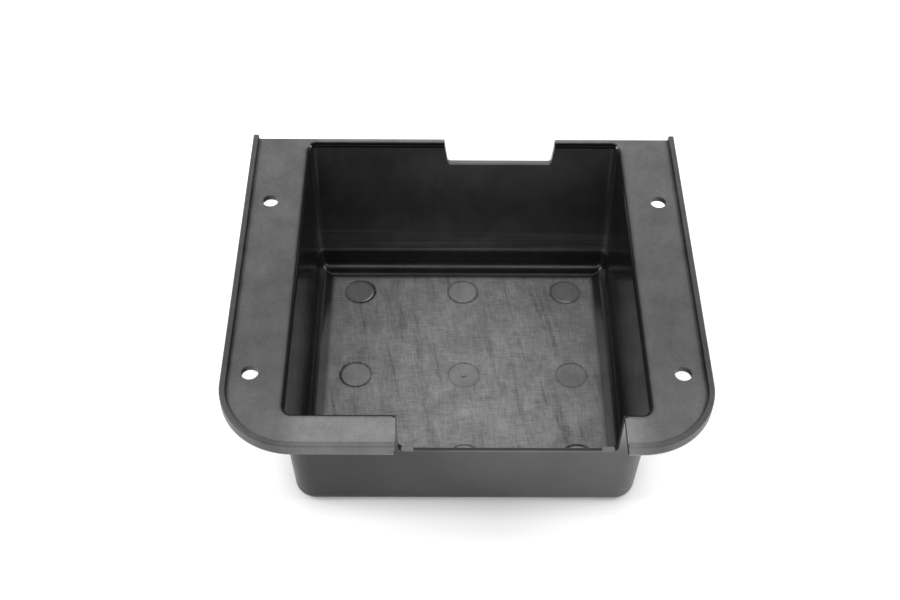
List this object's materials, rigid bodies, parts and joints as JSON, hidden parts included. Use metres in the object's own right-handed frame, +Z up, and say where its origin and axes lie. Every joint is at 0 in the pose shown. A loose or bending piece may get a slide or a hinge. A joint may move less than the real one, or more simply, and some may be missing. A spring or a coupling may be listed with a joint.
{
  "type": "moulded plastic tray housing",
  "caption": "Open-topped drafted tray with a lipped mounting plate on three sides, a notched front wall, a leaning notched rear wall and bolt holes.",
  "frame": {"origin": "middle of the bounding box, on the outer bottom face", "axes": "+Z up out of the pocket's mouth, -Y towards the deep front notch, +X across the plate to the right as seen from the front"},
  "size_m": [0.14, 0.127, 0.0463],
  "materials": {
    "housing": "satin moulded, fine grain on the plate and the pocket floor"
  },
  "bodies": {
    "root": {"housing": "housing"}
  },
  "joints": []
}
